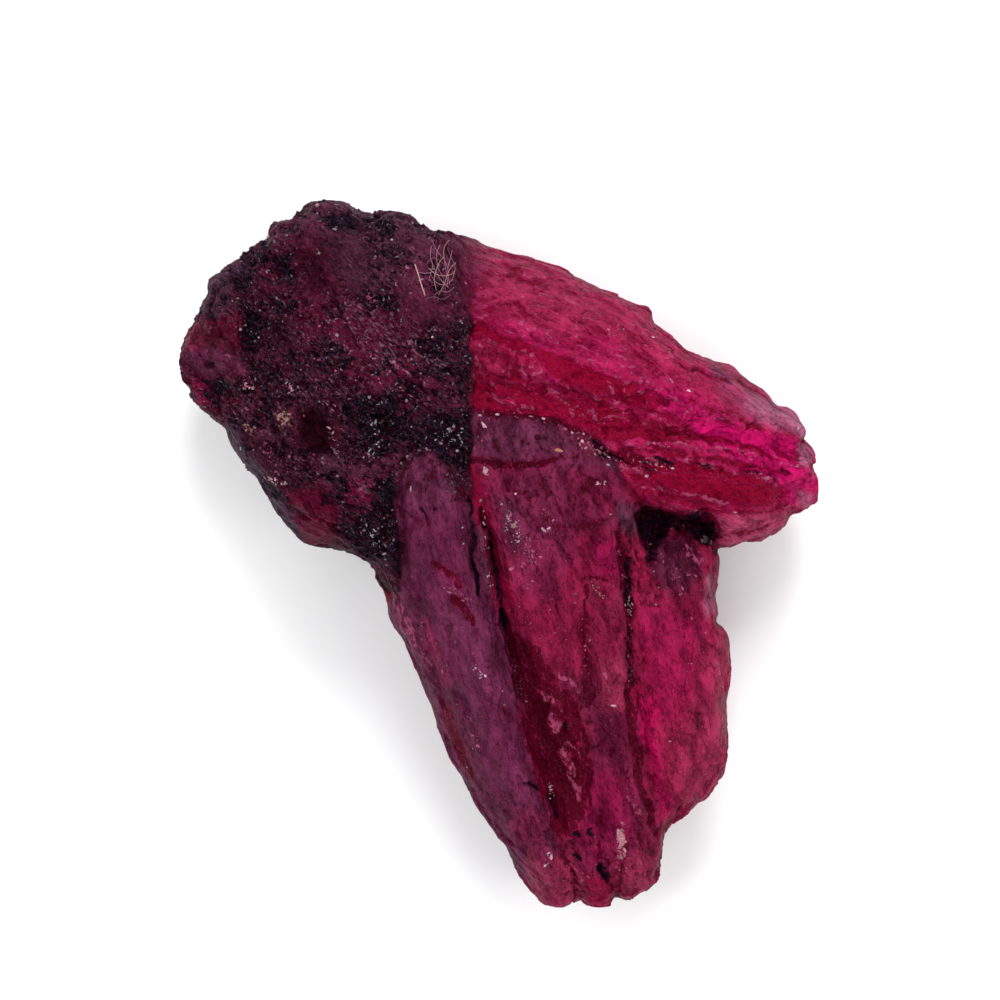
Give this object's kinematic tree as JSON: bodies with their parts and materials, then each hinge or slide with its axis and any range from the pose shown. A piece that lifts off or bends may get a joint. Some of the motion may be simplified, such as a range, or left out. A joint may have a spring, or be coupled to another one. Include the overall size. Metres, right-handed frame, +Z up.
{
  "type": "raw ruby crystal",
  "caption": "Rough, uncut cluster of red corundum: a dark granular lump with a long bladed wing and a fan of fused finger-like crystals, lying on a flat broken base.",
  "frame": {"origin": "middle of the bounding box, on the flat broken base that the stone lies on", "axes": "+Z up out of the base, +Y from the finger tips to the lump's peak, +X from the lump to the wing's tip"},
  "size_m": [0.0322, 0.0356, 0.0133],
  "materials": {
    "ruby": "waxy and faintly translucent, rough broken faces with small glints"
  },
  "bodies": {
    "root": {"ruby_crystal": "ruby"}
  },
  "joints": []
}
